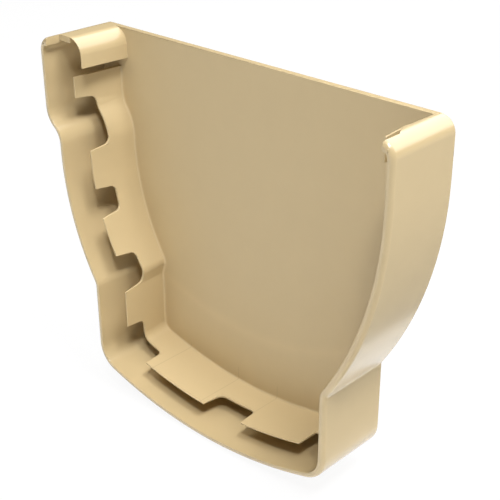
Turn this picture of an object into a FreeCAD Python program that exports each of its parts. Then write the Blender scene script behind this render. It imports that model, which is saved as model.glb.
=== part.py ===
import FreeCAD, Part
import math
import os

os.makedirs("parts", exist_ok=True)

# Gutter end cap, one moulding, in millimetres.
# X runs across the gutter, Z is up, and the gutter slides in along +Y until it
# meets the end plate. The origin is on the plate's stop face, half-way across
# and half-way up. Depths are measured from that face towards -Y.

# Overall size and wall thicknesses
WIDTH = 144.0
HEIGHT = 124.5
DEPTH = 27.5
PLATE = 2.5
SKIRT = 2.1
INNER_WALL = 1.7
NOTCH_FLOOR_WALL = 0.82
TAB_TIP_WALL = 0.45

# Outline: straight front side, ogee back side, a narrower base below the shoulders
TOP_ROUND = 5.0
BASE_WIDTH_SHARE = 0.729
SHOULDER_SHARE = 0.679
SHOULDER_ROUND = 3.0
BASE_CROWN = 9.5
BASE_ROUND = 10.0
STRAIGHT_SHARE = 0.146
OGEE_START_SHARE = 0.194
OGEE_STEP = 5.95
OGEE_OUTER_RADIUS = 8.8
OGEE_INNER_RADIUS = 5.9
THROAT_STRAIGHT = 1.5
BACK_EDGE_ROUND = 0.5
RIM_ROUND = 1.5

# Channel between the skirt and the inner wall, where the gutter's edge sits
CHANNEL_TOP = 7.2
CHANNEL_BACK = 6.2
CHANNEL_FRONT = 1.95
CHANNEL_BASE = 4.4
CHANNEL_UNDER = 4.7
WALL_OGEE_DROP = 1.0
WALL_OGEE_ROUND = 8.0
WALL_BASE_ROUND = 4.0
NOSE_ABOVE = 3.3
NOSE_BELOW = 2.0
NOSE_ROUND = 3.5
WALL_ROOT_ROUND = 0.8

# How far the inner wall leans towards the middle between its root and the
# tabs' tips. A minus leans it towards the skirt. The front wall is upright up to
# the notch floors, and only its free half leans.
LEAN_TOP = -1.5
LEAN_BACK = -0.4
LEAN_NOSE = 1.0
LEAN_BASE = 1.4
LEAN_FRONT = 1.85

# Tabs and notches of the inner wall. The spans are shares of the height,
# measured down from the top, or of half the base's width.
TAB_SETBACK = 5.9
NOTCH_DEPTH = 8.3
NOTCH_ROUND = 2.5
NOTCH_FLARE_ANGLE = 6.0
NOTCH_ROUND_LIMIT = 0.45
BACK_NOTCHES = ((0.166, 0.304), (0.412, 0.494), (0.594, 0.698))
CORNER_NOTCH_SHARE = 0.809
CORNER_NOTCH_BACK_SHARE = -0.648
CORNER_NOTCH_FRONT_SHARE = 0.812
BASE_NOTCH = (-0.103, 0.230)

# Upper ends of the inner wall
BACK_WALL_TOP = 13.5
FRONT_TAB_HEIGHT = 8.6
FRONT_TAB_DROP = 1.65
FRONT_TAB_FALL = 6.6

# Lips returned inwards along both top corners
LIP_REACH = 4.0
LIP_THICKNESS = 2.9
LIP_ROUND = 0.5
ROOF = 2.1
ROOF_SETBACK = 7.3
ROOF_SKEW = 3.4

# Tongue that hooks over the gutter's bead
TONGUE_FACE_INSET = 14.7
TONGUE_RADIUS = 5.5
TONGUE_WALL = 1.6
TONGUE_HEIGHT = 10.0
TONGUE_TAPER = 0.5
TONGUE_SETBACK = 5.5
TONGUE_LEAD = 4.0
TONGUE_TIP_EDGE = 0.3

# Places that follow from the sizes above
SIDE = WIDTH / 2
TOP = HEIGHT / 2
BOTTOM = -HEIGHT / 2
SKIRT_LENGTH = DEPTH - PLATE
TAB_LENGTH = SKIRT_LENGTH - TAB_SETBACK
NOTCH_FLOOR = TAB_LENGTH - NOTCH_DEPTH
FLOOR_SHARE = NOTCH_FLOOR / TAB_LENGTH
TONGUE_LENGTH = SKIRT_LENGTH - TONGUE_SETBACK
ROOF_END = SKIRT_LENGTH - ROOF_SETBACK
BASE_SIDE = SIDE * BASE_WIDTH_SHARE
SHOULDER_Z = TOP - HEIGHT * SHOULDER_SHARE
THROAT = SIDE - OGEE_STEP
CLEAR = 5.0
NEAR = 0.01


def at(x, z, y=0.0):
    """A point from its place across, its height and its depth."""
    return FreeCAD.Vector(x, y, z)


def line(start, end):
    return Part.makeLine(at(*start), at(*end))


def arc(centre, radius, start_angle, end_angle):
    """An arc in the XZ plane, its angles in radians from +X towards +Z."""
    points = []
    for angle in (start_angle, (start_angle + end_angle) / 2, end_angle):
        points.append(at(centre[0] + radius * math.cos(angle), centre[1] + radius * math.sin(angle)))
    return Part.Arc(*points).toShape()


def joined(edges):
    """One closed face from edges given in any order."""
    return Part.Face(Part.Wire(Part.__sortEdges__(edges)))


def polygon(corners):
    closed = list(corners) + [corners[0]]
    return joined([line(a, b) for a, b in zip(closed, closed[1:])])


def extruded(face, from_depth, to_depth):
    """The face drawn out between two depths in front of the stop face."""
    start = face.translated(FreeCAD.Vector(0, -from_depth, 0))
    return start.extrude(FreeCAD.Vector(0, from_depth - to_depth, 0))


def block(x, z, depth):
    """A box from three spans: across, up and in depth."""
    corners = ((x[0], z[0]), (x[1], z[0]), (x[1], z[1]), (x[0], z[1]))
    return extruded(polygon(corners), depth[0], depth[1])


def rounded(solid, corners, radius):
    """The solid with its edges through the (x, z) corners rounded."""
    edges = []
    for edge in solid.Edges:
        ends = [vertex.Point for vertex in edge.Vertexes]
        if len(ends) != 2 or abs(ends[0].y - ends[1].y) < NEAR:
            continue
        for x, z in corners:
            if all(math.hypot(end.x - x, end.z - z) < NEAR for end in ends):
                edges.append(edge)
    return solid.makeFillet(radius, edges)


def section(solid, depth):
    """The solid's flat end face at a depth."""
    for face in solid.Faces:
        if abs(face.BoundBox.YMin + depth) < NEAR and abs(face.BoundBox.YMax + depth) < NEAR:
            return face
    raise ValueError("no end face at depth %g" % depth)


def side_arc(top_x, top_z, end_x, end_z):
    """Centre and radius of the arc that leaves (top_x, top_z) straight down and
    curves inwards to (end_x, end_z). Both x values are distances from the middle."""
    across = top_x - end_x
    down = top_z - end_z
    radius = (across ** 2 + down ** 2) / (2 * across)
    return (top_x - radius, top_z), radius


def ogee_turn():
    """How far the ogee turns from upright, and its height."""
    radii = OGEE_OUTER_RADIUS + OGEE_INNER_RADIUS
    turn = math.acos(1 - OGEE_STEP / radii)
    return turn, radii * math.sin(turn)


STRAIGHT_Z = TOP - HEIGHT * STRAIGHT_SHARE
OGEE_START_Z = TOP - HEIGHT * OGEE_START_SHARE
OGEE_TURN, OGEE_HEIGHT = ogee_turn()
OGEE_END_Z = OGEE_START_Z - OGEE_HEIGHT
THROAT_Z = OGEE_END_Z - THROAT_STRAIGHT
FRONT_CENTRE, FRONT_RADIUS = side_arc(SIDE, STRAIGHT_Z, BASE_SIDE, SHOULDER_Z)
BACK_CENTRE, BACK_RADIUS = side_arc(THROAT, THROAT_Z, BASE_SIDE, SHOULDER_Z)
UNDER_RADIUS = (BASE_SIDE ** 2 + BASE_CROWN ** 2) / (2 * BASE_CROWN)
UNDER_CENTRE = (0.0, BOTTOM + UNDER_RADIUS)


def under_z(x, radius):
    """Height of the crowned underside, or of a wall parallel to it."""
    return UNDER_CENTRE[1] - math.sqrt(radius ** 2 - x ** 2)


def under_arc(x, radius):
    half = math.asin(x / radius)
    return arc(UNDER_CENTRE, radius, -math.pi / 2 - half, -math.pi / 2 + half)


def outside_solid():
    """The whole cap as a solid lump, skirt length and plate together."""
    corner_z = BOTTOM + BASE_CROWN
    front_end = math.asin((SHOULDER_Z - STRAIGHT_Z) / FRONT_RADIUS)
    back_end = math.pi - math.asin((SHOULDER_Z - THROAT_Z) / BACK_RADIUS)
    inner = (-THROAT - OGEE_INNER_RADIUS, OGEE_END_Z)
    outer = (-SIDE + OGEE_OUTER_RADIUS, OGEE_START_Z)
    edges = [
        line((-SIDE, TOP), (SIDE, TOP)),
        line((SIDE, TOP), (SIDE, STRAIGHT_Z)),
        arc(FRONT_CENTRE, FRONT_RADIUS, 0.0, front_end),
        line((BASE_SIDE, SHOULDER_Z), (BASE_SIDE, corner_z)),
        under_arc(BASE_SIDE, UNDER_RADIUS),
        line((-BASE_SIDE, corner_z), (-BASE_SIDE, SHOULDER_Z)),
        arc((-BACK_CENTRE[0], THROAT_Z), BACK_RADIUS, back_end, math.pi),
        line((-THROAT, THROAT_Z), (-THROAT, OGEE_END_Z)),
        arc(inner, OGEE_INNER_RADIUS, 0.0, OGEE_TURN),
        arc(outer, OGEE_OUTER_RADIUS, math.pi, math.pi + OGEE_TURN),
        line((-SIDE, OGEE_START_Z), (-SIDE, TOP)),
    ]
    lump = extruded(joined(edges), -PLATE, SKIRT_LENGTH)
    lump = rounded(lump, ((-SIDE, TOP), (SIDE, TOP)), TOP_ROUND)
    lump = rounded(lump, ((-BASE_SIDE, SHOULDER_Z), (BASE_SIDE, SHOULDER_Z)), SHOULDER_ROUND)
    return rounded(lump, ((-BASE_SIDE, corner_z), (BASE_SIDE, corner_z)), BASE_ROUND)


def skirt_hollow(outside):
    """Everything inside the skirt, in front of the plate."""
    inside = section(outside, SKIRT_LENGTH).makeOffset2D(-SKIRT)
    return inside.extrude(FreeCAD.Vector(0, SKIRT_LENGTH, 0))


def tub(outside):
    """End plate and skirt, with the plate's rim softened and the skirt's free rim
    rolled over on its outer side. The strip along the top stays closed here, and
    the top opening is cut later."""
    lump = outside.makeFillet(BACK_EDGE_ROUND, section(outside, -PLATE).Edges)
    lump = lump.makeFillet(RIM_ROUND, section(lump, SKIRT_LENGTH).Edges)
    return lump.cut(skirt_hollow(outside))


def hollow_sides(lean=0.0):
    """How far the hollow's sides stand from the middle: upper back, throat,
    nose, base and front. The lean is 0 at the plate and 1 at the tabs' tips."""
    front_lean = max(0.0, lean - FLOOR_SHARE) / (1 - FLOOR_SHARE)
    wall = SKIRT + INNER_WALL
    upper = SIDE - CHANNEL_TOP - wall
    throat = THROAT - CHANNEL_BACK - wall
    base = BASE_SIDE - CHANNEL_BASE - wall
    front = SIDE - CHANNEL_FRONT - wall
    back_radius = BACK_RADIUS - (THROAT - throat)
    nose_drop = THROAT_Z - SHOULDER_Z - NOSE_ABOVE
    nose = BACK_CENTRE[0] + math.sqrt(back_radius ** 2 - nose_drop ** 2)
    return (upper - lean * LEAN_TOP, throat - lean * LEAN_BACK, nose - lean * LEAN_NOSE,
            base - lean * LEAN_BASE, front - front_lean * LEAN_FRONT)


def hollow_outline(lean):
    """Outline of the space inside the inner wall, drawn past the open top, at
    the depth that goes with the lean."""
    depth = lean * TAB_LENGTH
    upper, throat, nose, base, front = hollow_sides(lean)
    under_radius = UNDER_RADIUS - CHANNEL_UNDER - SKIRT - INNER_WALL
    corner_z = under_z(base, under_radius)
    open_z = TOP + CLEAR

    ogee = (-THROAT - OGEE_INNER_RADIUS, OGEE_END_Z - WALL_OGEE_DROP)
    ogee_radius = OGEE_INNER_RADIUS + THROAT - throat
    ogee_turn_in = math.acos((-upper - ogee[0]) / ogee_radius)
    ogee_top_z = ogee[1] + ogee_radius * math.sin(ogee_turn_in)

    nose_z = SHOULDER_Z + NOSE_ABOVE
    return_z = SHOULDER_Z - NOSE_BELOW
    back_centre, back_radius = side_arc(throat, THROAT_Z, nose, nose_z)
    back_turn = math.asin((THROAT_Z - nose_z) / back_radius)

    front_centre = (FRONT_CENTRE[0], STRAIGHT_Z)
    front_radius = front - FRONT_CENTRE[0]
    front_turn = math.acos((base - front_centre[0]) / front_radius)
    ridge_z = STRAIGHT_Z - front_radius * math.sin(front_turn)

    edges = [
        line((-upper, open_z), (front, open_z)),
        line((front, open_z), (front, STRAIGHT_Z)),
        arc(front_centre, front_radius, 0.0, -front_turn),
        line((base, ridge_z), (base, corner_z)),
        under_arc(base, under_radius),
        line((-base, corner_z), (-base, return_z)),
        line((-base, return_z), (-nose, nose_z)),
        arc((-back_centre[0], THROAT_Z), back_radius, math.pi + back_turn, math.pi),
        line((-throat, THROAT_Z), (-throat, ogee[1])),
        arc(ogee, ogee_radius, 0.0, ogee_turn_in),
        line((-upper, ogee_top_z), (-upper, open_z)),
    ]
    slab = extruded(joined(edges), depth, depth + CLEAR)
    slab = rounded(slab, ((-base, corner_z), (base, corner_z)), WALL_BASE_ROUND)
    slab = rounded(slab, ((-nose, nose_z), (-base, return_z)), NOSE_ROUND)
    slab = rounded(slab, ((-upper, ogee_top_z),), WALL_OGEE_ROUND)
    slab = rounded(slab, ((base, ridge_z),), SHOULDER_ROUND + SIDE - front)
    return section(slab, depth)


def notch(low, high, low_flares=True, high_flares=True):
    """A notch's outline as (distance along the wall, depth) corners, wider at
    the tabs' tips than at its floor."""
    past_tip = TAB_LENGTH + CLEAR
    flare = (past_tip - NOTCH_FLOOR) * math.tan(math.radians(NOTCH_FLARE_ANGLE))
    tip_flare = NOTCH_DEPTH * math.tan(math.radians(NOTCH_FLARE_ANGLE))
    floor_low = low + tip_flare * low_flares
    floor_high = high - tip_flare * high_flares
    return ((floor_low, NOTCH_FLOOR), (floor_high, NOTCH_FLOOR),
            (floor_high + flare * high_flares, past_tip),
            (floor_low - flare * low_flares, past_tip))


def notch_tool(corners, across, upright):
    """The notch drawn through the wall. On an upright wall it runs along X, and
    on the base wall along Z. The corners at its floor are rounded."""
    points = []
    for along, depth in corners:
        if upright:
            points.append(at(across[0], along, -depth))
        else:
            points.append(at(along, across[0], -depth))
    face = Part.Face(Part.makePolygon(points + [points[0]]))
    reach = across[1] - across[0]
    direction = FreeCAD.Vector(reach, 0, 0) if upright else FreeCAD.Vector(0, 0, reach)
    tool = face.extrude(direction)
    floor_edges = []
    for edge in tool.Edges:
        ends = [vertex.Point for vertex in edge.Vertexes]
        is_along = abs((ends[1] - ends[0]).dot(direction)) > NEAR
        if is_along and abs(ends[0].y + NOTCH_FLOOR) < NEAR:
            floor_edges.append(edge)
    floor_width = corners[1][0] - corners[0][0]
    return tool.makeFillet(min(NOTCH_ROUND, floor_width * NOTCH_ROUND_LIMIT), floor_edges)


def notch_tools():
    """All the notches: three down the back, one round the back corner, one
    between the base tabs, and one long one from the uppermost front tab all the
    way round the front corner."""
    base = hollow_sides(1.0)[3]
    back = (-SIDE, CLEAR - base)
    front = (base - CLEAR, SIDE)
    below = BOTTOM - CLEAR
    under = (below, BOTTOM + BASE_CROWN + BASE_ROUND)
    tools = []
    for start, end in BACK_NOTCHES:
        tools.append(notch_tool(notch(TOP - HEIGHT * end, TOP - HEIGHT * start), back, True))
    corner_top = TOP - HEIGHT * CORNER_NOTCH_SHARE
    tools.append(notch_tool(notch(below, corner_top, low_flares=False), back, True))
    front_top = TOP - FRONT_TAB_HEIGHT
    tools.append(notch_tool(notch(below, front_top, low_flares=False), front, True))
    back_end = BASE_SIDE * CORNER_NOTCH_BACK_SHARE
    front_end = BASE_SIDE * CORNER_NOTCH_FRONT_SHARE
    tools.append(notch_tool(notch(-SIDE, back_end, low_flares=False), under, False))
    tools.append(notch_tool(notch(front_end, SIDE, high_flares=False), under, False))
    middle = notch(BASE_SIDE * BASE_NOTCH[0], BASE_SIDE * BASE_NOTCH[1])
    tools.append(notch_tool(middle, under, False))
    return tools


def inner_wall(outside):
    """The thin wall that stands inside the skirt: its root softened where it
    meets the plate, its free half thinner towards the tip and cut into tabs."""
    inner_wires = []
    outer_wires = []
    for lean, thickness in ((0.0, INNER_WALL), (FLOOR_SHARE, NOTCH_FLOOR_WALL), (1.0, TAB_TIP_WALL)):
        outline = hollow_outline(lean)
        inner_wires.append(outline.OuterWire)
        outer_wires.append(outline.makeOffset2D(thickness).OuterWire)
    hollow = Part.makeLoft(inner_wires, True, True)
    hollow = hollow.makeFillet(WALL_ROOT_ROUND, section(hollow, 0.0).Edges)
    wall = Part.makeLoft(outer_wires, True, True).common(outside).cut(hollow)
    wall = wall.cut(block((-SIDE, 0), (TOP - BACK_WALL_TOP, TOP + CLEAR), (0, DEPTH)))
    return wall.cut([front_tab_slope()] + notch_tools())


def front_tab_slope():
    """What the uppermost front tab loses, so that its top falls towards the tip."""
    start = hollow_sides()[4] - CLEAR
    corners = [at(start, TOP, FRONT_TAB_FALL - TAB_LENGTH), at(start, TOP - FRONT_TAB_DROP, -TAB_LENGTH),
               at(start, TOP + CLEAR, -TAB_LENGTH)]
    face = Part.Face(Part.makePolygon(corners + [corners[0]]))
    return face.extrude(FreeCAD.Vector(2 * CLEAR, 0, 0))


def plan_cut(corners, z):
    """What is cut between two heights, from (x, depth) corners seen from above."""
    points = [at(x, z[0], -depth) for x, depth in corners]
    face = Part.Face(Part.makePolygon(points + [points[0]]))
    return face.extrude(FreeCAD.Vector(0, 0, z[1] - z[0]))


def mouth(side, start):
    """What is open in front of the roof on one side of the middle. The lip's end
    curves over at its upper edge."""
    lip_end = SIDE - LIP_REACH
    low = TOP - ROOF - LIP_THICKNESS
    high = TOP + CLEAR
    flare = lip_end + LIP_ROUND
    fillet_z = TOP - LIP_ROUND
    edges = [
        line((0, low), (side * lip_end, low)),
        line((side * lip_end, low), (side * lip_end, fillet_z)),
        arc((side * flare, fillet_z), LIP_ROUND, math.pi / 2 + side * math.pi / 2, math.pi / 2),
        line((side * flare, TOP), (side * flare, high)),
        line((side * flare, high), (0, high)),
        line((0, high), (0, low)),
    ]
    return extruded(joined(edges), start, DEPTH)


def top_opening():
    """What is open along the top: between the lips in front of the roofs, and
    between tongue and front wall behind them. The front roof's edge is skewed."""
    z = (TOP - ROOF - LIP_THICKNESS, TOP + CLEAR)
    front = hollow_sides()[4]
    tongue_crown = -SIDE + TONGUE_FACE_INSET - TONGUE_RADIUS
    corners = ((tongue_crown, 0), (front, 0), (front, ROOF_END - ROOF_SKEW),
               (SIDE - LIP_REACH, ROOF_END), (tongue_crown, ROOF_END))
    back = plan_cut(corners, z).fuse(block((tongue_crown, 0), z, (0, DEPTH)))
    return back.fuse([mouth(-1, TONGUE_LENGTH), mouth(1, ROOF_END)])


def lips():
    """Both top corners of the skirt turned inwards and thickened."""
    strips = []
    for direction in (-1, 1):
        across = sorted((direction * (SIDE - SKIRT), direction * (SIDE - LIP_REACH)))
        strips.append(block(across, (TOP - LIP_THICKNESS, TOP - ROOF), (0, SKIRT_LENGTH)))
    return strips


def tongue_section(height, depth):
    """The hook seen from the end: a quarter round that runs down into a flat face."""
    face_x = -SIDE + TONGUE_FACE_INSET
    crown = (face_x - TONGUE_RADIUS, TOP - TONGUE_RADIUS)
    inner_radius = TONGUE_RADIUS - TONGUE_WALL
    low = TOP - height
    edges = [
        arc(crown, TONGUE_RADIUS, math.pi / 2, 0.0),
        line((face_x, crown[1]), (face_x, low)),
        line((face_x, low), (face_x - TONGUE_WALL, low)),
        line((face_x - TONGUE_WALL, low), (face_x - TONGUE_WALL, crown[1])),
        arc(crown, inner_radius, 0.0, math.pi / 2),
        line((crown[0], TOP - TONGUE_WALL), (crown[0], TOP)),
    ]
    wire = Part.Wire(Part.__sortEdges__(edges))
    return wire.translated(FreeCAD.Vector(0, -depth, 0))


def tongue_lead(wall, depth):
    """The space under the hook, with a given wall left above and beside it."""
    face_x = -SIDE + TONGUE_FACE_INSET
    crown = (face_x - TONGUE_RADIUS, TOP - TONGUE_RADIUS)
    far = crown[0] - CLEAR
    low = TOP - TONGUE_HEIGHT - CLEAR
    edges = [
        line((far, TOP - wall), (crown[0], TOP - wall)),
        arc(crown, TONGUE_RADIUS - wall, math.pi / 2, 0.0),
        line((face_x - wall, crown[1]), (face_x - wall, low)),
        line((face_x - wall, low), (far, low)),
        line((far, low), (far, TOP - wall)),
    ]
    wire = Part.Wire(Part.__sortEdges__(edges))
    return wire.translated(FreeCAD.Vector(0, -depth, 0))


def tongue():
    """The hook over the bead, its tip bevelled from inside so that it finds the bead."""
    hook = Part.makeLoft([tongue_section(TONGUE_HEIGHT, 0.0),
                          tongue_section(TONGUE_HEIGHT - TONGUE_TAPER, TONGUE_LENGTH)], True, True)
    lead = Part.makeLoft([tongue_lead(TONGUE_WALL, TONGUE_LENGTH - TONGUE_LEAD),
                          tongue_lead(TONGUE_TIP_EDGE, TONGUE_LENGTH)], True, True)
    return hook.cut(lead)


def end_cap():
    outside = outside_solid()
    shell = tub(outside).fuse(lips()).cut(top_opening())
    cap = shell.fuse([inner_wall(outside), tongue()]).removeSplitter()
    return cap.Solids[0] if len(cap.Solids) == 1 else cap


cap = end_cap()
print("solids %d, valid %s, volume %.0f mm3" % (len(cap.Solids), cap.isValid(), cap.Volume))
box = cap.optimalBoundingBox(False)
print("x %.2f..%.2f  y %.2f..%.2f  z %.2f..%.2f" % (box.XMin, box.XMax, box.YMin, box.YMax, box.ZMin, box.ZMax))
cap.exportStep("parts/end_cap.step")
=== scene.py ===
# %% [markdown]
# This scene dresses a moulded end cap for a rain gutter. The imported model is
# loaded first, as a fixed frame in metres. Everything that is made later takes its
# numbers from it, so that looks and construction can't drift apart.

# %% Load the frame
import math

import bpy
import numpy as np
from mathutils import Matrix, Vector
from mathutils.bvhtree import BVHTree


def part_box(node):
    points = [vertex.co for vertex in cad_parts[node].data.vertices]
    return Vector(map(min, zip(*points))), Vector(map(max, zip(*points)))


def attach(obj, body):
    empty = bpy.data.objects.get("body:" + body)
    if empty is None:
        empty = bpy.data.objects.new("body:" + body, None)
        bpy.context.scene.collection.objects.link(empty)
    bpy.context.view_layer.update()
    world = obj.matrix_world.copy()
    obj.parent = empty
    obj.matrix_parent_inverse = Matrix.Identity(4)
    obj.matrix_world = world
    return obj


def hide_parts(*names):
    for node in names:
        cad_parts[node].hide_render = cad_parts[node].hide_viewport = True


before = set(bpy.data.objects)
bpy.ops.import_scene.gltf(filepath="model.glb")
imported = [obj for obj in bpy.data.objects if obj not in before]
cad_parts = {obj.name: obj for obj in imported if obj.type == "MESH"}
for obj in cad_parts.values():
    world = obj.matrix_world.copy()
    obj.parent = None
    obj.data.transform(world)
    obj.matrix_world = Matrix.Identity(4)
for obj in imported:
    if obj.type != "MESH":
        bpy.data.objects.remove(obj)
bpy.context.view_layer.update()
MM = 0.001
cap_low, cap_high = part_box("end_cap")
print("cap from", [round(v, 4) for v in cap_low], "to", [round(v, 4) for v in cap_high])


# %% [markdown]
# A picture can only be compared with a photograph when both look along the same
# line. The camera stands in front of the cap, to its right and above it. Its place
# and axes were solved from the cap's outline in the photograph, because aiming by
# eye is never that close. A small shift puts the cap where the photograph has it.

# %% Camera
CAMERA_PLACE = Vector((222.35, -235.67, 160.81)) * MM
CAMERA_RIGHT = Vector((0.735275, 0.677766, 0.001898))
CAMERA_UP = Vector((-0.316575, 0.340957, 0.885171))
CAMERA_BACK = Vector((0.599292, -0.651445, 0.465261))
LENS = 79.72
SENSOR = 36.0
SHIFT = (-0.0300, 0.0491)
NEAREST = 0.01


def add_camera():
    lens = bpy.data.cameras.new("camera")
    lens.lens, lens.sensor_width = LENS, SENSOR
    lens.shift_x, lens.shift_y = SHIFT
    lens.clip_start = NEAREST
    camera = bpy.data.objects.new("camera", lens)
    bpy.context.scene.collection.objects.link(camera)
    turn = Matrix((CAMERA_RIGHT, CAMERA_UP, CAMERA_BACK)).transposed()
    camera.matrix_world = Matrix.Translation(CAMERA_PLACE) @ turn.to_4x4()
    bpy.context.scene.camera = camera
    return camera


camera = add_camera()
print("camera", round(camera.location.length, 3), "m from the cap's middle")


# %% [markdown]
# The real cap is one moulding of PVC. It could be modelled again from flat shapes,
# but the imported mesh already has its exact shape. That mesh is made of loose
# triangles and stays as it is, so a copy of it is merged into one closed shell
# whose edges can be worked on.

# %% One shell
MERGE = 0.002 * MM


def deselect_everything():
    if bpy.context.object and bpy.context.object.mode != "OBJECT":
        bpy.ops.object.mode_set(mode="OBJECT")
    bpy.ops.object.select_all(action="DESELECT")


def merged_copy(source, name):
    deselect_everything()
    piece = source.copy()
    piece.data = source.data.copy()
    piece.name = piece.data.name = name
    piece.parent = None
    piece.matrix_world = Matrix.Identity(4)
    bpy.context.scene.collection.objects.link(piece)
    piece.select_set(True)
    bpy.context.view_layer.objects.active = piece
    bpy.ops.object.mode_set(mode="EDIT")
    bpy.ops.mesh.select_all(action="SELECT")
    bpy.ops.mesh.remove_doubles(threshold=MERGE)
    bpy.ops.object.mode_set(mode="OBJECT")
    return piece


cap = merged_copy(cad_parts["end_cap"], "moulded_cap")
print("shell", len(cap.data.vertices), "corners", len(cap.data.polygons), "faces")


# %% [markdown]
# Where two fillets of the cap meet, the mesh holds slivers thinner than a hair. A
# bevel throws corners far out of such slivers, so they are dissolved before any
# edge is rounded. A wider merge could join corners across the finest steps of the
# fillets, and dissolving takes only the slivers.

# %% Slivers
SLIVER = 0.03 * MM


def dissolve_slivers():
    bpy.ops.object.mode_set(mode="EDIT")
    bpy.ops.mesh.select_all(action="SELECT")
    bpy.ops.mesh.dissolve_degenerate(threshold=SLIVER)
    bpy.ops.mesh.quads_convert_to_tris()
    bpy.ops.object.mode_set(mode="OBJECT")


def surface_of(mesh):
    """The surface as it is now, to measure later corners against."""
    return BVHTree.FromPolygons([corner.co.copy() for corner in mesh.vertices],
                                [face.vertices[:] for face in mesh.polygons])


dissolve_slivers()
sharp_surface = surface_of(cap.data)
print("without slivers", len(cap.data.vertices), "corners", len(cap.data.polygons), "faces")


# %% [markdown]
# No edge of a moulding is razor sharp: the mould leaves a radius of a tenth or two
# of a millimetre, and that radius draws the thin light lines round the tabs, the
# notches and the rim. A shader could fake it, but only a real radius shows in the
# mesh too. A Bevel modifier rounds just the edges that are sharper than a fillet's
# facets, because the fillets are right as they are. A corner that it still throws
# off the surface is set back on it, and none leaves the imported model's box.

# %% Soft edges
EDGE_RADIUS = 0.16 * MM
EDGE_STEPS = 2
STRAY = 0.09 * MM
SHARP = math.radians(50)


def round_edges(piece):
    bevel = piece.modifiers.new("mould_radius", "BEVEL")
    bevel.limit_method = "ANGLE"
    bevel.angle_limit = SHARP
    bevel.width = EDGE_RADIUS
    bevel.segments = EDGE_STEPS
    bevel.use_clamp_overlap = False
    bpy.ops.object.modifier_apply(modifier="mould_radius")


def set_back_strays(mesh, surface):
    """Stray corners go back to the surface, and every corner into the box."""
    strays = 0
    for corner in mesh.vertices:
        nearest, _, _, gap = surface.find_nearest(corner.co)
        if gap > STRAY:
            corner.co = nearest
            strays += 1
        corner.co = np.clip(corner.co, cap_low, cap_high)
    return strays


round_edges(cap)
print("corners set back:", set_back_strays(cap.data, sharp_surface))


# %% [markdown]
# The plate and the walls of the real cap are flat right up to their rounded edges.
# Plain smooth shading would bend the light on a big face towards the small radius
# beside it. Normals weighted by each face's area keep the flat walls flat, and the
# radii carry the whole turn. The finished shell then takes the place of the packed
# node.

# %% Flat walls
AREA_WEIGHT = 50


def shade_walls(piece):
    bpy.ops.object.shade_smooth_by_angle(angle=SHARP)
    weighted = piece.modifiers.new("flat_walls", "WEIGHTED_NORMAL")
    weighted.mode = "FACE_AREA"
    weighted.weight = AREA_WEIGHT
    weighted.keep_sharp = True
    bpy.ops.object.modifier_apply(modifier="flat_walls")


shade_walls(cap)
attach(cap, "root")
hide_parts("end_cap")
print("softened", len(cap.data.vertices), "corners", len(cap.data.polygons), "faces")


# %% [markdown]
# The mould was polished where the cap is seen on a house, and eroded to a fine
# matt grain inside, so that the cap lets go of its core. The shining parts follow
# the cap's outline, so the outline is read off the mesh, from the edges that run
# round it just inside the plate's back. Its edges are used and not only their
# corners, because a long straight wall has no corner near its middle.

# %% The outline
OUTLINE_LEVEL = 2.0 * MM
LEVEL_SLACK = 0.15 * MM
TINY = 1e-12


def outline_edges(mesh):
    """Both ends, seen from the front, of the edges along the cap's outline."""
    corners = np.empty(len(mesh.vertices) * 3)
    mesh.vertices.foreach_get("co", corners)
    corners = corners.reshape(-1, 3)
    on_outline = np.abs(corners[:, 1] - OUTLINE_LEVEL) < LEVEL_SLACK
    ends = np.empty(len(mesh.edges) * 2, dtype=int)
    mesh.edges.foreach_get("vertices", ends)
    ends = ends.reshape(-1, 2)
    chosen = ends[on_outline[ends].all(axis=1)]
    return corners[chosen[:, 0]][:, [0, 2]], corners[chosen[:, 1]][:, [0, 2]]


def distance_from_edges(points, starts, stops):
    """Each point's distance from the nearest edge."""
    nearest = np.full(len(points), np.inf)
    for start, run in zip(starts, stops - starts):
        along = np.clip((points - start) @ run / max(run @ run, TINY), 0, 1)
        gaps = np.linalg.norm(points - start - along[:, None] * run, axis=1)
        nearest = np.minimum(nearest, gaps)
    return nearest


starts, stops = outline_edges(cap.data)
print("outline of", len(starts), "edges, from", starts.min(axis=0).round(4),
      "to", starts.max(axis=0).round(4))


# %% [markdown]
# The skirt, the rim and the lips lie within a few millimetres of the outline and
# shine. The tongue stands further in and shines too, so it is named by its own
# corner of the cap, and so does the plate's back, which is seen from the street.
# The plate's inside and the inner wall don't shine. The mark is kept as a number on
# every face, 1 for polished and 0 for grained. Two materials would do as well, but
# one material that reads the mark keeps the cap a single moulding.

# %% Mark the polished faces
SHINING_DEPTH = 4.2 * MM
TONGUE_SIDE = -56.5 * MM
TONGUE_FOOT = 51.5 * MM
INNER_FACE_LEVEL = 0.4 * MM


def mark_polish(mesh):
    middles = np.empty(len(mesh.polygons) * 3)
    mesh.polygons.foreach_get("center", middles)
    x, y, z = middles.reshape(-1, 3).T
    near_outline = distance_from_edges(np.stack([x, z], axis=1), starts, stops) < SHINING_DEPTH
    tongue = (x < TONGUE_SIDE) & (z > TONGUE_FOOT)
    back = y > INNER_FACE_LEVEL
    plate_inside = np.abs(y) < INNER_FACE_LEVEL
    polished = (near_outline | tongue | back) & ~plate_inside
    marks = mesh.attributes.new("polish", "FLOAT", "FACE")
    marks.data.foreach_set("value", polished.astype(np.float32))
    return polished


polished = mark_polish(cap.data)
print("polished faces", int(polished.sum()), "of", len(polished))


# %% [markdown]
# Every finish in this scene is a formula of the place on the object, because an
# image would bring its own grain and seams. These helpers add the few kinds of
# node that the formulas need, each in one line.

# %% Node helpers
def new_material(name):
    material = bpy.data.materials.new(name)
    material.use_nodes = True
    return material, material.node_tree, material.node_tree.nodes["Principled BSDF"]


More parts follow.
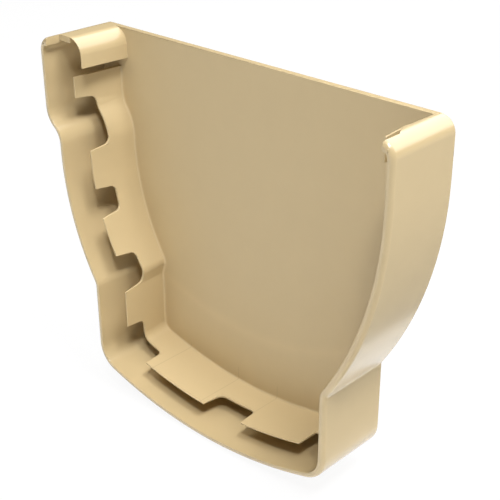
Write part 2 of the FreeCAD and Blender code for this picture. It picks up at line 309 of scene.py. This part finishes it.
def number_maker(tree):
    """The function that adds a Math node, whose inputs are sockets or plain numbers."""
    def number(operation, *inputs, clamp=False):
        node = tree.nodes.new("ShaderNodeMath")
        node.operation = operation
        node.use_clamp = clamp
        for socket, value in zip(node.inputs, inputs):
            if isinstance(value, bpy.types.NodeSocket):
                tree.links.new(value, socket)
            else:
                socket.default_value = value
        return node.outputs[0]
    return number


def place_on_object(tree):
    """The place on the object, first whole and then as x, y and z."""
    place = tree.nodes.new("ShaderNodeTexCoord").outputs["Object"]
    split = tree.nodes.new("ShaderNodeSeparateXYZ")
    tree.links.new(place, split.inputs[0])
    return place, *split.outputs


def noise(tree, place, scale, detail):
    node = tree.nodes.new("ShaderNodeTexNoise")
    node.inputs["Scale"].default_value = scale
    node.inputs["Detail"].default_value = detail
    tree.links.new(place, node.inputs["Vector"])
    return node.outputs["Fac"]


pvc, tree, shader = new_material("beige_pvc")
number = number_maker(tree)
place, x, y, z = place_on_object(tree)
print("material", pvc.name, "starts with", len(tree.nodes), "nodes")


# %% [markdown]
# A faint paler arc is added to the colour of the plate's lower part. It has no
# depth, so it is colour and not shape. The arc is part of a large ring around a
# point above the plate's middle, and a soft ridge draws the ring: 1 at its middle
# and nothing at its borders.

# %% Pale arc
ARC_CENTRE_X, ARC_CENTRE_Z = -3.0 * MM, 65.0 * MM
ARC_RADIUS = 98.0 * MM
ARC_HALF_WIDTH = 3.2 * MM
ARC_TOP = -18.0 * MM
PLATE_SLACK = 0.4 * MM
ROUNDING = 0.3


def ridge(value, centre, half_width):
    """1 where the value is at the centre, falling softly to 0 at the half width."""
    gap = number("ABSOLUTE", number("SUBTRACT", value, centre))
    share = number("SMOOTH_MIN", number("DIVIDE", gap, half_width), 1.0, ROUNDING)
    return number("SUBTRACT", 1.0, share, clamp=True)


# Paler colour along an arc on the plate's lower part.
def pale_arc():
    across = number("SUBTRACT", x, ARC_CENTRE_X)
    up = number("SUBTRACT", z, ARC_CENTRE_Z)
    squares = number("ADD", number("MULTIPLY", across, across), number("MULTIPLY", up, up))
    ring = ridge(number("SQRT", squares), ARC_RADIUS, ARC_HALF_WIDTH)
    on_plate = number("LESS_THAN", number("ABSOLUTE", y), PLATE_SLACK)
    below = number("LESS_THAN", z, ARC_TOP)
    return number("MULTIPLY", ring, number("MULTIPLY", on_plate, below))


arc = pale_arc()
print("flow arc", round(2 * ARC_HALF_WIDTH / MM, 1), "mm wide,", len(tree.nodes), "nodes")


# %% [markdown]
# Three hair lines cross the base wall, as the joints of four mould inserts leave
# them. Cut into the mesh, they would be thinner than a pixel and split every face
# they cross, so they are drawn as darker lines. They show only on grained faces,
# which is where the inserts touched.

# %% Joints of the inserts
INSERT_JOINTS = (-30.8 * MM, -7.0 * MM, 11.3 * MM)
JOINT_HALF_WIDTH = 0.22 * MM
BASE_TOP = -48.5 * MM


def insert_joints(grained):
    joints = 0.0
    for joint in INSERT_JOINTS:
        joints = number("MAXIMUM", joints, ridge(x, joint, JOINT_HALF_WIDTH))
    on_base = number("LESS_THAN", z, BASE_TOP)
    return number("MULTIPLY", joints, number("MULTIPLY", on_base, grained))


mark = tree.nodes.new("ShaderNodeAttribute")
mark.attribute_name = "polish"
polish = mark.outputs["Fac"]
grained = number("SUBTRACT", 1.0, polish)
joints = insert_joints(grained)


# %% [markdown]
# Gutter PVC is coloured through in the mass, so one beige runs over the whole cap.
# It is never quite even: the melt leaves clouds some millimetres wide. One tone
# multiplies the beige, and the clouds, the arc and the joints each add their part
# to it, so that the hue stays the same everywhere.

# %% Colour in the mass
PVC = (0.600, 0.468, 0.2610)
CLOUD_SCALE = 90.0
CLOUD_DETAIL = 2.0
CLOUD_CONTRAST = 0.05
ARC_LIFT = 0.045
JOINT_DEPTH = 0.16


def pvc_colour():
    cloud = noise(tree, place, CLOUD_SCALE, CLOUD_DETAIL)
    tone = number("MULTIPLY_ADD", cloud, CLOUD_CONTRAST, 1.0 - CLOUD_CONTRAST / 2)
    tone = number("ADD", tone, number("MULTIPLY", arc, ARC_LIFT))
    tone = number("SUBTRACT", tone, number("MULTIPLY", joints, JOINT_DEPTH))
    colour = tree.nodes.new("ShaderNodeVectorMath")
    colour.operation = "SCALE"
    colour.inputs[0].default_value = PVC
    tree.links.new(tone, colour.inputs["Scale"])
    return colour.outputs[0]


tree.links.new(pvc_colour(), shader.inputs["Base Color"])
print("beige", PVC, "varied by", CLOUD_CONTRAST)


# %% [markdown]
# The polished faces of the real cap mirror their surroundings under a thin clear
# skin of resin, and the grained ones scatter the light. A coat over a smoother
# base gives the first, and a rougher base with a very fine bump the second. The
# grain is far finer than a pixel, so a bump is enough for it.

# %% Two finishes
MATT = 0.50
GLOSSY = 0.24
COAT = 0.7
COAT_ROUGHNESS = 0.17
GRAIN_SCALE = 2600.0
GRAIN_DETAIL = 1.0
GRAIN_DEPTH = 0.02 * MM
GRAIN_STRENGTH = 0.5


def finish_faces():
    roughness = number("MULTIPLY_ADD", polish, GLOSSY - MATT, MATT)
    tree.links.new(roughness, shader.inputs["Roughness"])
    tree.links.new(number("MULTIPLY", polish, COAT), shader.inputs["Coat Weight"])
    shader.inputs["Coat Roughness"].default_value = COAT_ROUGHNESS
    bump = tree.nodes.new("ShaderNodeBump")
    bump.inputs["Distance"].default_value = GRAIN_DEPTH
    tree.links.new(number("MULTIPLY", grained, GRAIN_STRENGTH), bump.inputs["Strength"])
    tree.links.new(noise(tree, place, GRAIN_SCALE, GRAIN_DETAIL), bump.inputs["Height"])
    tree.links.new(bump.outputs[0], shader.inputs["Normal"])


finish_faces()
cap.data.materials.clear()
cap.data.materials.append(pvc)
print("material", pvc.name, "with", len(tree.nodes), "nodes")


# %% [markdown]
# The cap stands on a plain pale floor. The camera sees it almost white, as in a
# catalogue picture, but it keeps the cap's soft shadow, and it lights the cap as a
# real pale floor does. In the shining skirt the floor shows as a painted reflection:
# it glows white behind and beside the cap, and duller further to the right. The
# border between the two is the straight upper edge of the bright wedge on the
# skirt's right side. A card on the floor could give the same edge, but it would
# throw a shadow of its own.

# %% Floor
FLOOR_SIZE = 6.0
FLOOR_Z = cap_low[2] - 0.5 * MM
FLOOR_COLOUR = (0.9, 0.9, 0.9, 1)
FLOOR_ROUGHNESS = 0.9
WHITE_SHARE = 0.93
DULL_FROM = 67.0 * MM
MIRRORED_DULL = 0.30


def whiten(tree, shader):
    """White for the camera, save a share of the shadow; in mirrors a painted reflection, white
    or dull.
    """
    number = number_maker(tree)
    _, x, _, _ = place_on_object(tree)
    rays = tree.nodes.new("ShaderNodeLightPath")
    seen, mirrored = rays.outputs["Is Camera Ray"], rays.outputs["Is Glossy Ray"]
    share = number("MAXIMUM", number("MULTIPLY", seen, WHITE_SHARE), mirrored)
    # Painted reflection: for glossy rays the floor glows, duller right of DULL_FROM.
    dull = number("MULTIPLY", mirrored, number("GREATER_THAN", x, DULL_FROM))
    white = tree.nodes.new("ShaderNodeEmission")
    tree.links.new(number("MULTIPLY_ADD", dull, MIRRORED_DULL - 1.0, 1.0),
                   white.inputs["Strength"])
    mix = tree.nodes.new("ShaderNodeMixShader")
    for source, socket in zip((share, shader.outputs[0], white.outputs[0]), mix.inputs):
        tree.links.new(source, socket)
    tree.links.new(mix.outputs[0], tree.nodes["Material Output"].inputs["Surface"])


def add_floor():
    deselect_everything()
    bpy.ops.mesh.primitive_plane_add(size=FLOOR_SIZE, location=(0, 0, FLOOR_Z))
    floor = bpy.context.object
    floor.name = "floor"
    material, tree, shader = new_material("pale_floor")
    shader.inputs["Base Color"].default_value = FLOOR_COLOUR
    shader.inputs["Roughness"].default_value = FLOOR_ROUGHNESS
    shader.inputs["Specular IOR Level"].default_value = 0.0
    whiten(tree, shader)
    floor.data.materials.append(material)
    return floor


floor = add_floor()
print("floor", FLOOR_SIZE, "m wide at", round(FLOOR_Z, 4))


# %% [markdown]
# Around the floor the camera sees plain white. The room itself stays dark for the
# cap, because a bright one would light the channel's bottom, which is deep brown in
# the photograph. So the world is white for camera rays alone.

# %% Room
ROOM = 0.03


def add_room():
    world = bpy.data.worlds.new("soft_room")
    bpy.context.scene.world = world
    world.use_nodes = True
    nodes, links = world.node_tree.nodes, world.node_tree.links
    room, white = nodes["Background"], nodes.new("ShaderNodeBackground")
    for background, strength in ((room, ROOM), (white, 1.0)):
        background.inputs["Color"].default_value = (1.0, 1.0, 1.0, 1)
        background.inputs["Strength"].default_value = strength
    seen = nodes.new("ShaderNodeLightPath").outputs["Is Camera Ray"]
    mix = nodes.new("ShaderNodeMixShader")
    for source, socket in zip((seen, room.outputs[0], white.outputs[0]), mix.inputs):
        links.new(source, socket)
    links.new(mix.outputs[0], nodes["World Output"].inputs["Surface"])
    return world


room = add_room()
print("room at", ROOM)


# %% [markdown]
# The light was read off the photograph's shadows and highlights. The tabs' shadows
# are narrow and crisp, so a small lamp stands above the camera's shoulder. The
# skirt throws no shadow on the plate, so the stronger key lamp stands high on the
# right, in line with the plate. A soft lamp on the left fills the plate, and a wide
# one behind draws the broad highlights on the lips and the tongue. A bright sky
# would be simpler, but it would fill the shadows under the tabs.

# %% Lamps
LAMPS = (
    # name, azimuth, elevation in degrees, width in metres, watts
    ("key_lamp", 88, 67, 0.30, 6.1),
    ("front_lamp", 45, 58, 0.15, 4.7),
    ("left_lamp", -40, 60, 0.40, 1.9),
    ("rear_lamp", 168, 52, 1.30, 13.0),
)


def add_lamp(name, azimuth, elevation, width, watts):
    """A square soft lamp a metre away. The azimuth runs from the front to the right."""
    turn, rise = math.radians(azimuth), math.radians(elevation)
    way = Vector((math.sin(turn) * math.cos(rise), -math.cos(turn) * math.cos(rise),
                  math.sin(rise)))
    lamp = bpy.data.lights.new(name, "AREA")
    lamp.shape = "SQUARE"
    lamp.size = width
    lamp.energy = watts
    holder = bpy.data.objects.new(name, lamp)
    bpy.context.scene.collection.objects.link(holder)
    holder.location = way
    holder.rotation_euler = (-way).to_track_quat("-Z", "Y").to_euler()
    return holder


lamps = [add_lamp(*lamp) for lamp in LAMPS]
bpy.context.scene.view_settings.view_transform = "Standard"
print("lamps", [lamp.name for lamp in lamps])
